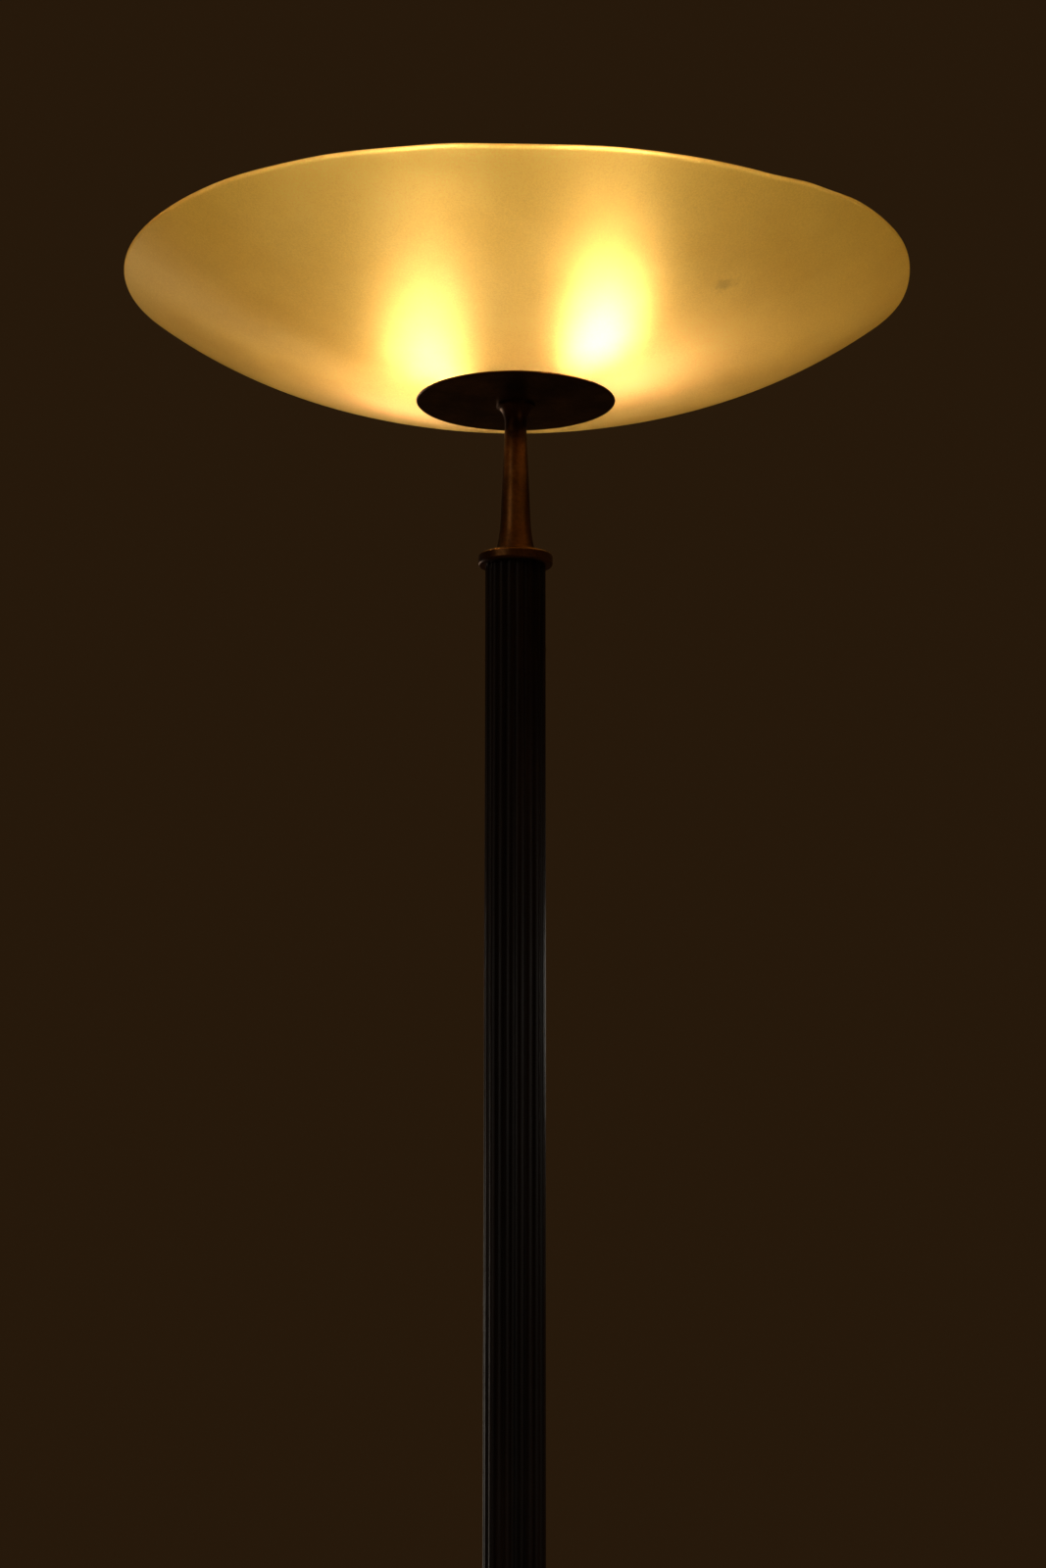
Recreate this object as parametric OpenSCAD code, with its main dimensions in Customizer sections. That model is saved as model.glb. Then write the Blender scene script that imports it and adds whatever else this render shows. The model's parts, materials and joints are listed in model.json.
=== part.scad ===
// Torchiere floor lamp: a shallow frosted glass bowl on a turned neck, a tall
// reeded column, and a weighted round base with a foot switch.
// Millimetres, +Z up, origin on the floor under the middle of the base.
// A hollow tie rod runs from the base to the lamp hub and clamps the whole
// stack together: cover, collar, column, collar, neck, plate, glass and hub.

/* [Overall] */
// Height from the floor to the rim of the glass
overall_h = 1720; // [1500:10:1900]

/* [Glass bowl] */
// Outer diameter of the bowl
bowl_d = 480; // [420:5:540]
// Rise of the bowl from its flat seat to its rim
bowl_h = 77; // [65:1:95]
// Thickness of the glass
glass_t = 4.5; // [3.5:0.1:6]
// Diameter of the hole in the middle of the bowl
bowl_hole_d = 26; // [24:1:30]
// Part of the rise that comes from the straight slope, the rest being curved
bowl_straight = 0.55; // [0.45:0.01:0.6]

/* [Support plate] */
// Diameter of the saucer under the glass
plate_d = 121.4; // [110:0.2:140]
// Thickness of the saucer at its middle
plate_t = 2.5; // [2:0.1:4]

/* [Neck and collars] */
// Length of the turned neck
neck_h = 94.4; // [80:0.2:120]
// Radius of the flange under the saucer
neck_flange_r = 11.8; // [10:0.1:14]
// Smallest radius of the neck, under its flange
neck_thin_r = 6.6; // [6.4:0.1:8]
// Radius of the straight taper where it reaches the collar
neck_taper_r = 10; // [9:0.1:11]
// Radius of the flared foot
neck_foot_r = 12.6; // [12:0.1:15]
// Diameter of the collar on top of the column
top_collar_d = 45; // [42:0.5:50]
// Height of the collar on top of the column
top_collar_h = 7; // [5:0.5:10]
// Diameter of the collar under the column
low_collar_d = 50; // [46:0.5:56]
// Height of the collar under the column
low_collar_h = 9; // [8:0.5:14]

/* [Column] */
// Diameter over the reeds
column_d = 36.4; // [34:0.2:40]
// Number of reeds round the column
reeds = 18; // [16:1:20]
// Diameter of the bore through the column
column_bore_d = 12; // [11.8:0.1:14]

/* [Base] */
// Diameter of the base cover
base_d = 310; // [280:5:340]
// Height of the flat shoulder of the cover
shoulder_h = 30; // [29:1:34]
// Height of the top of the cover, where the collar sits
cover_h = 57; // [52:1:64]
// Thickness of the spun cover
sheet_t = 1.2; // [1:0.1:1.5]
// Diameter of the cast weight
weight_d = 264; // [240:2:270]
// Height of the top of the weight's disc
weight_top = 22; // [18:1:24]

/* [Lamps] */
// Direction in which the first lamp points, the other pointing the opposite way
lamp_turn = -25; // [-45:1:-25]
// Angle of each lamp above the horizontal
lamp_tilt = 36; // [30:1:36]
// Diameter of the round bulbs
bulb_d = 41; // [38:1:41]

/* [Foot switch] */
// Distance of the button from the middle of the base
switch_r = 100; // [96:1:104]
// Direction of the button from the middle of the base
switch_turn = -50; // [-60:1:-40]
// Diameter of the button
button_d = 9; // [8:0.5:9]
// How far the button goes down
button_travel = 4; // [3:0.5:4]
// How far the button stands above its bush
button_proud = 5; // [5:0.5:7]

/* [Cord inlet] */
// Diameter of the cord that the gland takes
cord_bore_d = 7; // [6:0.5:7.5]
// Height of the gland above the floor
gland_z = 14.5; // [14:0.5:16]

/* [Hidden] */
$fn = 72;

// Colours
AGED_BRASS = "#6b4a1f";
BRIGHT_BRASS = "#b08a3e";
STEEL = "#9a9a98";
DARK_WOOD = "#2a1a12";
BAKELITE = "#1c1512";

// Gap left round a piece that passes through a hole
slip = 0.1;
// Radial clearance of the sliding button
running = 0.05;
// Overshoot of a cut past the surface it opens
over = 1;

// Heights of the base stack
felt_t = 2;
plate_low_z = felt_t;
plate_low_t = 2;
inside_z = plate_low_z + plate_low_t;
cover_gap = 1;
base_r = base_d / 2;
weight_r = weight_d / 2;
edge_r = 9;
step_r = 84;
step_h = 3;
cove_r = 78;
cove_z = shoulder_h + step_h;
cover_top_r = 27;

// Radius of the cove that climbs from the step to the top of the cover
cove_run = cove_r - cover_top_r;
cove_rise = cover_h - cove_z;
cove_radius = (cove_run * cove_run + cove_rise * cove_rise) / (2 * cove_rise);

// Screws of the base plate
base_screw_ring = 118;
base_screw_turns = [45, 135, 225, 345];
base_screw_r = 2;
base_screw_l = 11;
base_head_r = 3.8;
base_head_h = 1.7;
slot_w = 0.8;

// Cord clamp, terminals and earth tag, which sit on the base plate
small_screw_r = 1.5;
small_head_r = 2.9;
small_head_h = 1.8;
clamp_y = 128;
clamp_l = 8;
clamp_screw_x = 9;
terminal_w = 22;
terminal_l = 16;
terminal_h = 11;
terminal_x = 5;
terminal_y = 104;
terminal_ys = [terminal_y + 4, terminal_y + 12];
terminal_wire_z = 4;
terminal_screw_z = 6.5;
earth_spot = [-20, 104];
tag_t = 0.8;
plate_screw_spots = [
    [-clamp_screw_x, clamp_y + clamp_l / 2],
    [clamp_screw_x, clamp_y + clamp_l / 2],
    earth_spot
];

// Pocket in the weight for the terminals, and channels for the wires
pocket_half_w = 27;
pocket_y = 84;
channel_w = 14;
channel_top = 13;
nut_bore_r = 18;
nut_bore_top = 27;

// Tie rod
rod_r = 5;
rod_bore_r = 3.7;
rod_low_z = 14;

// Heights of the upper stack, from the rim of the glass down
gasket_t = 1;
glass_z = overall_h - bowl_h;
seat_z = glass_z - gasket_t;
plate_z = seat_z - plate_t;
neck_z = plate_z - neck_h;
top_collar_z = neck_z - top_collar_h;
column_z = cover_h + low_collar_h;
spigot_h = 8;
clamp_z = glass_z + glass_t + gasket_t;
clamp_t = 1.5;
hub_z = clamp_z + clamp_t;

// Lamp hub
hub_r = 13;
hub_bore_r = 11;
hub_floor_t = 5.5;
hub_h = 20;
hub_flange_r = 17;
hub_flange_t = 2.5;
hub_top_z = hub_z + hub_h;
cap_rise = 10;
finial_z = hub_top_z + cap_rise;
rod_top_z = hub_z + hub_floor_t - 1;
block_z = hub_z + 10.1;

// Distances along each lamp's own axis
lamp_z = hub_z + 2.6;
nipple_from = 12;
nipple_to = 25;
holder_from = 22;
holder_cone = 7;
holder_to = 53;
holder_r = 13.5;
insert_from = 28.5;
insert_to = 50;
wire_to = insert_from - 0.5;
contact_t = 30.5;
cap_to = 56;
bulb_centre = contact_t + 45.5;
bulb_r = bulb_d / 2;
bulb_wall = 0.8;
bulb_neck_r = 7.2;
bulb_stub_r = 6.3;

// Foot switch
switch_top = shoulder_h - sheet_t;
switch_l = 24;
switch_w = 20;
switch_h = 18;
switch_room = 3;
switch_z = switch_top - switch_h;
bush_r = 6;
bush_top = shoulder_h + 5;
stem_r = button_d / 2;
button_top = bush_top + button_proud;
flange_gap = 0.2;
flange_t = 3;
switch_wall = 2;
stem_flange_z = switch_top - switch_wall - flange_gap - flange_t;
bridge_t = 0.6;
contact_top = stem_flange_z - bridge_t - button_travel - flange_gap;
contact_off = 7.4;
terminal_z = switch_z - 3;
spring_low_z = switch_z + switch_wall;
spring_turns = 4.5;
spring_wire_r = 0.4;
spring_r = 4.1;

// Wires
wire_r = 1.1;
wire_ring = 1.75;
high_z = 8.5;
low_z = 5.6;
LIVE_TURN = switch_turn;
NEUTRAL_TURN = switch_turn + 120;
EARTH_TURN = switch_turn + 240;

// Cord gland
gland_r = 5;
gland_flange_r = 7.5;
gland_flange_t = 2.5;
gland_nut_r = 8.1;
gland_nut_t = 3;
gland_in = 12;
gland_out = 6;

// ---- helpers ----

// A flat ring
module ring(outer_r, inner_r, z, h) {
    translate([0, 0, z])
    difference() {
        cylinder(r = outer_r, h = h);
        translate([0, 0, -over]) cylinder(r = inner_r, h = h + 2 * over);
    }
}

// Half section of a disc whose rim is rounded, from the axis outwards
module rounded_section(r, z, h, round_r) {
    translate([0, z]) square([r - round_r, h]);
    translate([0, z + round_r]) square([r, h - 2 * round_r]);
    for (level = [z + round_r, z + h - round_r]) {
        translate([r - round_r, level]) circle(r = round_r);
    }
}

// Places a piece that is drawn along +Z on the axis of lamp number i
module on_lamp(i) {
    translate([0, 0, lamp_z])
    rotate([0, 0, lamp_turn + 180 * (i - 1)])
    rotate([0, 90 - lamp_tilt, 0])
    children();
}

// Places a piece on the axis of the foot switch
module at_switch() {
    rotate([0, 0, switch_turn])
    translate([switch_r, 0, 0])
    children();
}

// Places a piece that is drawn along +Z on the axis of the gland, pointing back
module at_gland() {
    translate([0, base_r, gland_z])
    rotate([-90, 0, 0])
    children();
}

// Point x out from the axis and y to the left, seen in the direction turn
function turned(x, y, z, turn) =
    [x * cos(turn) - y * sin(turn), x * sin(turn) + y * cos(turn), z];

function unit(v) = v / norm(v);

// Corner b of a route, rounded off over the length cut on each side
function corner(a, b, c, cut, steps) =
    let (
        from = b + cut * unit(a - b),
        to = b + cut * unit(c - b)
    )
    [for (k = [0 : steps]) let (u = k / steps)
        (1 - u) * (1 - u) * from + 2 * u * (1 - u) * b + u * u * to];

// A route with each of its corners rounded off
function rounded_route(p, cut, steps = 4) = concat(
    [p[0]],
    [for (i = [1 : len(p) - 2]) each corner(p[i - 1], p[i], p[i + 1], cut, steps)],
    [p[len(p) - 1]]
);

function heading(p, i) =
    i == 0 ? unit(p[1] - p[0]) :
    i == len(p) - 1 ? unit(p[i] - p[i - 1]) :
    unit(unit(p[i + 1] - p[i]) + unit(p[i] - p[i - 1]));

// Side directions carried along a route without twisting
function sides(p, i, side) =
    i == len(p) ? [] :
    let (
        ahead = heading(p, i),
        flat = unit(side - (side * ahead) * ahead)
    )
    concat([flat], sides(p, i + 1, flat));

// A round tube of radius r swept along a route of points
module swept(p, r, around = 8) {
    start = cross(heading(p, 0), [0.31, 0.87, 0.39]);
    side = sides(p, 0, unit(start));
    rings = len(p);
    points = [
        for (i = [0 : rings - 1])
        let (up = cross(heading(p, i), side[i]))
        for (k = [0 : around - 1])
        let (a = 360 * k / around)
        p[i] + r * (cos(a) * side[i] + sin(a) * up)
    ];
    walls = [
        for (i = [0 : rings - 2])
        for (k = [0 : around - 1])
        let (next = (k + 1) % around)
        for (face = [
            [i * around + k, (i + 1) * around + k, (i + 1) * around + next],
            [i * around + k, (i + 1) * around + next, i * around + next]
        ]) face
    ];
    first = [for (k = [0 : around - 1]) k];
    last = [for (k = [around - 1 : -1 : 0]) (rings - 1) * around + k];
    polyhedron(points = points, faces = concat([first], walls, [last]));
}

// ---- base ----

// Felt disc glued under the base, with holes over the screw heads
module base_felt() {
    color("#3c4a36")
    difference() {
        cylinder(r = base_r - 7, h = felt_t);
        for (turn = base_screw_turns) {
            rotate([0, 0, turn]) translate([base_screw_ring, 0, -over])
                cylinder(r = 5, h = felt_t + 2 * over);
        }
    }
}

// Steel plate that closes the base
module base_plate() {
    color("#4b4b4a")
    difference() {
        translate([0, 0, plate_low_z]) cylinder(r = base_r - 4, h = plate_low_t);
        for (turn = base_screw_turns) {
            rotate([0, 0, turn]) translate([base_screw_ring, 0, 0])
                cylinder(r = base_screw_r + slip, h = inside_z + over);
        }
        for (spot = plate_screw_spots) {
            translate([spot.x, spot.y, 0]) cylinder(r = small_screw_r + slip, h = inside_z + over);
        }
    }
}

// Pan-head screws that hold the plate to the weight
module base_screws() {
    color(STEEL)
    for (turn = base_screw_turns) {
        rotate([0, 0, turn]) translate([base_screw_ring, 0, 0])
        difference() {
            union() {
                translate([0, 0, plate_low_z - base_head_h]) cylinder(r = base_head_r, h = base_head_h);
                translate([0, 0, plate_low_z - 0.5]) cylinder(r = base_screw_r, h = base_screw_l);
            }
            translate([-base_head_r + 1, -slot_w / 2, 0])
                cube([2 * base_head_r - 2, slot_w, plate_low_z - 0.8]);
        }
    }
}

// Cast-iron weight: a disc with a tall boss, a pocket at the back for the
// terminals, one at the front for the switch, and channels between them
module base_weight() {
    bevel = 3;
    boss_r = 20;
    color("#2f2f30")
    difference() {
        union() {
            translate([0, 0, inside_z]) cylinder(r = weight_r, h = weight_top - inside_z - bevel);
            translate([0, 0, weight_top - bevel]) cylinder(r1 = weight_r, r2 = weight_r - bevel, h = bevel);
            translate([0, 0, inside_z]) cylinder(r = boss_r, h = cover_h - sheet_t - inside_z);
        }
        cylinder(r = rod_r + 3 * slip, h = cover_h);
        cylinder(r = nut_bore_r, h = nut_bore_top);
        translate([-pocket_half_w, pocket_y, 0]) cube([2 * pocket_half_w, weight_r, cover_h]);
        translate([-channel_w / 2, 0, 0]) cube([channel_w, pocket_y + over, channel_top]);
        at_switch() translate([-switch_l / 2 - switch_room, -switch_w / 2 - switch_room, 0])
            cube([switch_l + 2 * switch_room, switch_w + 2 * switch_room, cover_h]);
        rotate([0, 0, switch_turn]) translate([0, -channel_w / 2, 0])
            cube([switch_r, channel_w, channel_top]);
        for (turn = base_screw_turns) {
            rotate([0, 0, turn]) translate([base_screw_ring, 0, 0])
                cylinder(r = base_screw_r + slip, h = 15);
        }
    }
}

// Outline of the cover, from its axis, shrunk by inset
module cover_outline(inset) {
    difference() {
        union() {
            square([base_r - inset, shoulder_h - edge_r]);
            square([base_r - edge_r, shoulder_h - inset]);
            translate([base_r - edge_r, shoulder_h - edge_r]) circle(r = edge_r - inset);
            square([step_r - step_h, cove_z - inset]);
            translate([step_r - step_h, shoulder_h]) circle(r = step_h - inset);
            square([cove_r, cover_h - inset]);
        }
        translate([cove_r, cove_z + cove_radius]) circle(r = cove_radius + inset, $fn = 180);
    }
}

// Spun brass cover, open underneath, with holes for the rod, gland and switch
module base_cover() {
    color(AGED_BRASS)
    difference() {
        rotate_extrude($fn = 144)
        intersection() {
            difference() {
                cover_outline(0);
                cover_outline(sheet_t);
            }
            translate([rod_r + 3 * slip, cover_gap]) square([base_r, cover_h]);
        }
        at_switch() cylinder(r = bush_r + slip, h = cover_h);
        at_gland() translate([0, 0, -edge_r]) cylinder(r = gland_r + slip, h = 2 * edge_r);
    }
}

// ---- cord inlet and terminals ----

// Bush that leads the cord through the wall of the cover
module cord_gland() {
    bevel = 0.8;
    nose_r = gland_r + 0.6;
    color(BAKELITE)
    at_gland()
    difference() {
        union() {
            translate([0, 0, -gland_in]) cylinder(r = gland_r, h = gland_in + over);
            cylinder(r = gland_flange_r, h = gland_flange_t);
            cylinder(r = nose_r, h = gland_out - bevel);
            translate([0, 0, gland_out - bevel]) cylinder(r1 = nose_r, r2 = nose_r - bevel, h = bevel);
        }
        translate([0, 0, -gland_in - over]) cylinder(d = cord_bore_d, h = gland_in + gland_out + 2 * over);
    }
}

// Hexagon nut behind the gland
module gland_nut() {
    color(BRIGHT_BRASS)
    at_gland()
    translate([0, 0, -sheet_t - gland_nut_t - 0.6])
    difference() {
        cylinder(r = gland_nut_r, h = gland_nut_t, $fn = 6);
        translate([0, 0, -over]) cylinder(r = gland_r + slip, h = gland_nut_t + 2 * over);
    }
}

// Saddle that grips the cord inside the base
module cord_clamp() {
    saddle_r = 5.1;
    grip_r = 3.6;
    mouth_w = 6.6;
    axis_z = 4;
    foot_w = 26;
    foot_t = 1.5;
    color(STEEL)
    translate([0, clamp_y, inside_z])
    difference() {
        union() {
            translate([-foot_w / 2, 0, 0]) cube([foot_w, clamp_l, foot_t]);
            translate([-saddle_r, 0, 0]) cube([2 * saddle_r, clamp_l, axis_z]);
            translate([0, clamp_l, axis_z]) rotate([90, 0, 0]) cylinder(r = saddle_r, h = clamp_l);
        }
        translate([0, clamp_l + over, axis_z]) rotate([90, 0, 0])
            cylinder(r = grip_r, h = clamp_l + 2 * over);
        translate([-mouth_w / 2, -over, axis_z - 2 * saddle_r])
            cube([mouth_w, clamp_l + 2 * over, 2 * saddle_r]);
        for (s = [-1, 1]) {
            translate([s * clamp_screw_x, clamp_l / 2, -over])
                cylinder(r = small_screw_r + slip, h = foot_t + 2 * over);
        }
    }
}

// A small slotted screw from inside the base, whose head sits on the level z
module small_screw(z) {
    translate([0, 0, plate_low_z + slip]) cylinder(r = small_screw_r, h = z - plate_low_z);
    difference() {
        translate([0, 0, z]) cylinder(r = small_head_r, h = small_head_h);
        translate([-small_head_r - slip, -slot_w / 2, z + small_head_h - slot_w])
            cube([2 * (small_head_r + slip), slot_w, small_head_h]);
    }
}

// The two screws of the saddle
module cord_clamp_screws() {
    color(STEEL)
    for (s = [-1, 1]) {
        translate([s * clamp_screw_x, clamp_y + clamp_l / 2, 0]) small_screw(inside_z + 1.5);
    }
}

// Two-way terminal block
module terminal_block() {
    color("#2b2622")
    difference() {
        translate([-terminal_w / 2, terminal_y, inside_z]) cube([terminal_w, terminal_l, terminal_h]);
        for (x = [-terminal_x, terminal_x]) {
            translate([x, terminal_y - over, inside_z + terminal_wire_z]) rotate([-90, 0, 0])
                cylinder(r = 1.5, h = terminal_l + 2 * over);
            for (y = terminal_ys) {
                translate([x, y, inside_z + terminal_screw_z]) cylinder(r = 2.2, h = terminal_h);
            }
        }
    }
}

// The four clamping screws of the terminal block
module terminal_screws() {
    screw_h = 4;
    color(BRIGHT_BRASS)
    for (x = [-terminal_x, terminal_x]) {
        for (y = terminal_ys) {
            translate([x, y, inside_z + terminal_screw_z])
            difference() {
                cylinder(r = 2, h = screw_h);
                translate([-2.5, -slot_w / 2, screw_h - slot_w]) cube([5, slot_w, 2 * slot_w]);
            }
        }
    }
}

// Tinned tag that earths the metal of the lamp
module earth_tag() {
    tongue_w = 3.2;
    tongue_l = 12;
    color("#c8c6bd")
    translate([earth_spot.x, earth_spot.y, inside_z])
    difference() {
        union() {
            cylinder(r = 4, h = tag_t);
            translate([-tongue_w / 2, -tongue_l, 0]) cube([tongue_w, tongue_l, tag_t]);
        }
        translate([0, 0, -over]) cylinder(r = small_screw_r + slip, h = tag_t + 2 * over);
    }
}

// Screw that holds the earth tag to the plate
module earth_screw() {
    color(BRIGHT_BRASS)
    translate([earth_spot.x, earth_spot.y, 0]) small_screw(inside_z + tag_t);
}

// ---- foot switch ----

// Moulded body of the switch with its threaded bush
module switch_body() {
    color(BAKELITE)
    at_switch()
    difference() {
        union() {
            translate([-switch_l / 2, -switch_w / 2, switch_z]) cube([switch_l, switch_w, switch_h]);
            translate([0, 0, switch_top - over]) cylinder(r = bush_r, h = bush_top - switch_top + over);
        }
        translate([-switch_l / 2 + 3, -switch_w / 2 + 1.4, spring_low_z])
            cube([switch_l - 6, switch_w - 2.8, switch_h - 2 * switch_wall]);
        translate([0, 0, switch_top - switch_wall - over])
            cylinder(r = stem_r + running, h = bush_top);
        for (s = [-1, 1]) {
            translate([-1 - slip, s * contact_off - 1 - slip, switch_z - over])
                cube([2 + 2 * slip, 2 + 2 * slip, switch_wall + 2 * over]);
        }
    }
}

// Round nut that clamps the switch under the cover
module switch_nut() {
    color(BRIGHT_BRASS)
    at_switch()
    rotate_extrude()
    difference() {
        rounded_section(10, shoulder_h, 3, 1);
        square([bush_r + slip, shoulder_h + 4]);
    }
}

// The two fixed contacts, which end in terminals under the body
module switch_contacts() {
    color(BRIGHT_BRASS)
    at_switch()
    for (s = [-1, 1]) {
        translate([-1, s * contact_off - 1, terminal_z]) cube([2, 2, contact_top - terminal_z]);
    }
}

// Button and plunger, held up in the bush by a flange
module switch_button() {
    color("#5a2f16")
    at_switch()
    rotate_extrude()
    difference() {
        union() {
            translate([0, stem_flange_z]) square([stem_r, button_top - stem_flange_z - 1.5]);
            translate([0, stem_flange_z]) square([6, flange_t]);
            rounded_section(stem_r, button_top - 6, 6, 1.5);
        }
        translate([0, stem_flange_z - over]) square([1.5, 8]);
    }
}

// Contact bridge under the plunger, which closes the two contacts
module switch_bridge() {
    color(BRIGHT_BRASS)
    at_switch()
    difference() {
        union() {
            translate([0, 0, stem_flange_z - bridge_t]) cylinder(r = 6, h = bridge_t);
            translate([-2, -8.4, stem_flange_z - bridge_t]) cube([4, 16.8, bridge_t]);
        }
        translate([0, 0, stem_flange_z - over]) cylinder(r = 4.9, h = 2 * over);
    }
}

// Spring that lifts the button
module button_spring() {
    steps = 16 * spring_turns;
    low = spring_low_z + spring_wire_r;
    rise = stem_flange_z - spring_low_z - 2 * spring_wire_r;
    color(STEEL)
    at_switch()
    swept([
        for (k = [0 : steps])
        let (a = 360 * spring_turns * k / steps)
        [spring_r * cos(a), spring_r * sin(a), low + rise * k / steps]
    ], spring_wire_r, 6);
}

// ---- stem ----

// Hollow rod that ties the lamp together and carries the wires
module tie_rod() {
    color(STEEL) ring(rod_r, rod_bore_r, rod_low_z, rod_top_z - rod_low_z);
}

// Nut, spring washer and plain washer under the weight
module tie_rod_nut() {
    color(STEEL)
    translate([0, 0, nut_bore_top - 9.5])
    difference() {
        cylinder(r = 9.8, h = 6, $fn = 6);
        translate([0, 0, -over]) cylinder(r = rod_r + 0.05, h = 6 + 2 * over);
    }
}

module lock_washer() {
    color(STEEL)
    difference() {
        ring(8.6, rod_r + 2 * slip, nut_bore_top - 3.5, 2);
        translate([5, -0.6, nut_bore_top - 4.5]) cube([5, 1.2, 4]);
    }
}

module tie_rod_washer() {
    color(STEEL) ring(14, rod_r + 2 * slip, nut_bore_top - 1.5, 1.5);
}

// Turned collar between the cover and the column
module lower_collar() {
    color(AGED_BRASS)
    rotate_extrude($fn = 120)
    difference() {
        union() {
            rounded_section(low_collar_d / 2, cover_h, low_collar_h - 3.5, 2);
            rounded_section(low_collar_d / 2 - 3.5, column_z - 5, 5, 1.2);
            translate([0, column_z - 1]) square([column_bore_d / 2 - slip, spigot_h + 1]);
        }
        translate([0, cover_h - over]) square([rod_r + 2 * slip, low_collar_h + spigot_h + 2 * over]);
    }
}

// Column with convex reeds round it, bored for the rod
module reeded_column() {
    outer_r = column_d / 2;
    reed_r = outer_r / 5;
    color(DARK_WOOD)
    translate([0, 0, column_z])
    linear_extrude(height = top_collar_z - column_z)
    difference() {
        union() {
            circle(r = outer_r - 2.4);
            for (k = [0 : reeds - 1]) {
                rotate(360 * k / reeds) translate([outer_r - reed_r, 0]) circle(r = reed_r);
            }
        }
        circle(d = column_bore_d);
    }
}

// Disc with a rounded rim that caps the column
module top_collar() {
    color(AGED_BRASS)
    rotate_extrude($fn = 120)
    difference() {
        union() {
            rounded_section(top_collar_d / 2, top_collar_z, top_collar_h, 1.7);
            translate([0, top_collar_z - spigot_h]) square([column_bore_d / 2 - slip, spigot_h + 1]);
        }
        translate([0, top_collar_z - spigot_h - over])
            square([rod_r + 2 * slip, top_collar_h + spigot_h + 2 * over]);
    }
}

// Radius of the neck at the height u above the collar: a straight taper, a
// foot that flares out below and a flange that flares out above
foot_flare_h = 25;
flange_flare_h = 11;
flange_edge_h = 1.6;
function neck_r(u) =
    let (
        taper_end = neck_h - flange_flare_h - flange_edge_h,
        taper = neck_taper_r + (neck_thin_r - neck_taper_r) * min(u / taper_end, 1),
        foot = (neck_foot_r - neck_taper_r) * pow(max(1 - u / foot_flare_h, 0), 2.5),
        rise = min(max(u - taper_end, 0) / flange_flare_h, 1),
        flange = (neck_flange_r - neck_thin_r) * (1 - sqrt(1 - 0.96 * rise * rise))  / 0.8
    )
    taper + foot + flange;

// Turned neck
module neck() {
    heights = concat(
        [for (k = [0 : 8]) foot_flare_h * k / 8],
        [for (k = [0 : 8]) neck_h - flange_edge_h - flange_flare_h * (1 - k / 8)]
    );
    color(AGED_BRASS)
    translate([0, 0, neck_z])
    rotate_extrude($fn = 96)
    polygon(concat(
        [[rod_r + 2 * slip, 0]],
        [for (u = heights) [neck_r(u), u]],
        [[neck_flange_r, neck_h - flange_edge_h], [neck_flange_r, neck_h], [rod_r + 2 * slip, neck_h]]
    ));
}

// ---- glass and its clamp ----

// Turned saucer that carries the glass
module support_plate() {
    r = plate_d / 2;
    color(AGED_BRASS)
    rotate_extrude($fn = 144)
    polygon([
        [rod_r + 2 * slip, plate_z],
        [neck_flange_r + 2, plate_z],
        [r - 2, seat_z - 1],
        [r - 0.6, seat_z - 0.7],
        [r, seat_z],
        [r - 0.3, seat_z + 0.6],
        [r - 1.2, seat_z + 0.7],
        [r - 2.6, seat_z],
        [rod_r + 2 * slip, seat_z]
    ]);
}

// Felt ring between the saucer and the glass
module lower_gasket() {
    color("#4a4238") ring(plate_d / 2 - 4, 30, seat_z, gasket_t);
}

// Height and slope of the middle of the glass at radius r
rim_r = bowl_d / 2 - glass_t / 2;
curve_from = plate_d / 2;
function share(r) = max(r - curve_from, 0) / (rim_r - curve_from);
function glass_mid(r) = glass_z + glass_t / 2
    + (bowl_h - glass_t) * (bowl_straight * share(r) + (1 - bowl_straight) * pow(share(r), 3));
function glass_slope(r) = atan((glass_mid(r + 0.1) - glass_mid(r - 0.1)) / 0.2);
function glass_side(r, out) =
    [r + out * sin(glass_slope(r)), glass_mid(r) - out * cos(glass_slope(r))];

// Shallow bowl with a flat seat, a centre hole and a rounded rim
module glass_bowl() {
    steps = 24;
    half = glass_t / 2;
    radii = [for (k = [0 : steps]) curve_from + (rim_r - curve_from) * k / steps];
    color("#f3d9a0", 0.6)
    rotate_extrude($fn = 180) {
        polygon(concat(
            [[bowl_hole_d / 2, glass_z]],
            [for (r = radii) glass_side(r, half)],
            [for (k = [steps : -1 : 0]) glass_side(radii[k], -half)],
            [[bowl_hole_d / 2, glass_z + glass_t]]
        ));
        translate([rim_r, glass_mid(rim_r)]) circle(r = half, $fn = 24);
    }
}

// Bush that keeps the rod off the edge of the glass
module glass_bush() {
    color("#1f1d1b") ring(bowl_hole_d / 2 - 0.3, rod_r + 2 * slip, seat_z, gasket_t + glass_t);
}

// Felt ring on top of the glass
module upper_gasket() {
    color("#4a4238") ring(34, 16, glass_z + glass_t, gasket_t);
}

// Brass disc that presses the glass down
module clamp_disc() {
    color(BRIGHT_BRASS) ring(36, rod_r + 2 * slip, clamp_z, clamp_t);
}

// ---- lamp hub ----

// Hollow hub screwed on to the rod, with a bore for each lamp
module lamp_hub() {
    color(BRIGHT_BRASS)
    difference() {
        union() {
            translate([0, 0, hub_z]) cylinder(r = hub_r, h = hub_h);
            translate([0, 0, hub_z]) cylinder(r = hub_flange_r, h = hub_flange_t);
        }
        translate([0, 0, hub_z + hub_floor_t]) cylinder(r = hub_bore_r, h = hub_h);
        translate([0, 0, hub_z - over]) cylinder(r = rod_r + 0.05, h = hub_h);
        for (i = [1, 2]) {
            on_lamp(i) translate([0, 0, nipple_from - 3]) cylinder(r = rod_r + 0.05, h = nipple_to);
        }
    }
}

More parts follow.
